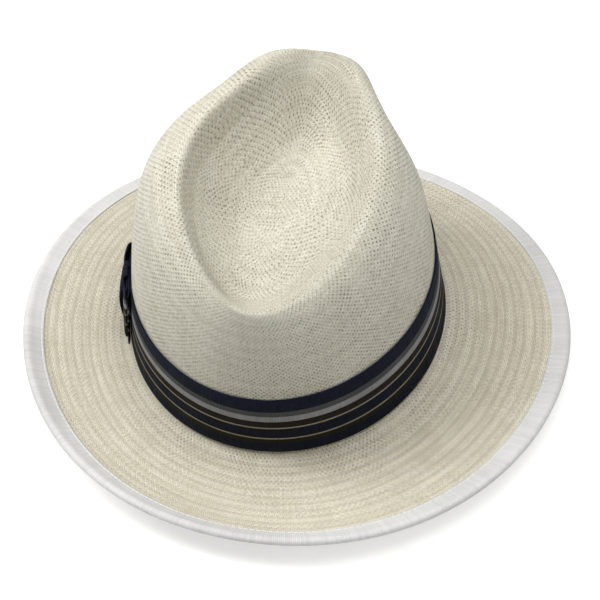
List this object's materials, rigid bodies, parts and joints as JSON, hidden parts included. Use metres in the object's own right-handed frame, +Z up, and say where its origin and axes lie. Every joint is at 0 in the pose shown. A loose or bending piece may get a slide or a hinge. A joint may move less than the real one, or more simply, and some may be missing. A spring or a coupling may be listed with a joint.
{
  "type": "fedora hat",
  "caption": "Woven straw fedora with a teardrop crown, front pinches, a striped ribbon band with a side bow, and a ribbon-bound snap brim.",
  "frame": {"origin": "middle of the hat's footprint, on the table it stands on", "axes": "+Z up from the table, -Y towards the front of the hat, +X towards the wearer's left"},
  "size_m": [0.3004, 0.3272, 0.1366],
  "materials": {
    "straw": "woven ivory straw, slightly glossy",
    "binding_ribbon": "off-white grosgrain ribbon",
    "steel_wire": "spring wire",
    "striped_ribbon": "navy grosgrain ribbon with grey, brown and gold stripes",
    "band_cloth": "cream cotton twill"
  },
  "bodies": {
    "root": {"straw_body": "straw", "brim_binding": "binding_ribbon", "brim_wire": "steel_wire", "hatband": "striped_ribbon", "bow_tail": "striped_ribbon", "bow_back_loop": "striped_ribbon", "bow_front_loop": "striped_ribbon", "bow_knot": "striped_ribbon", "sweatband": "band_cloth", "sweatband_reed": "band_cloth", "sweatband_bow": "band_cloth"}
  },
  "joints": []
}
